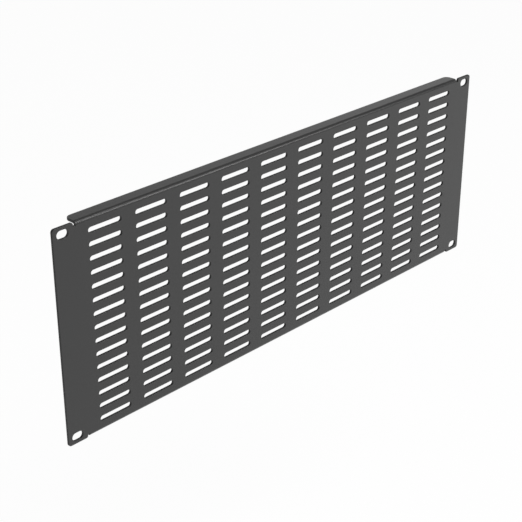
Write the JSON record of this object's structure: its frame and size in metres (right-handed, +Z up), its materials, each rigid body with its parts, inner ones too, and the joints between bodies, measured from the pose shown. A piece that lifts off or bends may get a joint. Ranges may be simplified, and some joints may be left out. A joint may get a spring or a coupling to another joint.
{
  "type": "rack blanking panel",
  "caption": "Folded steel vented blanking panel for a 19 inch rack, with oblong rack holes in its ears and flanges turned back along its top and bottom.",
  "frame": {"origin": "middle of the four rack holes, on the back of the sheet where the ears seat on the rack's rails", "axes": "+X along the panel, +Z up the panel, front face looks along -Y and the flanges point along +Y"},
  "size_m": [0.4826, 0.0127, 0.177],
  "materials": {
    "powder_coated_steel": "satin"
  },
  "bodies": {
    "root": {"vented_panel": "powder_coated_steel"}
  },
  "joints": []
}
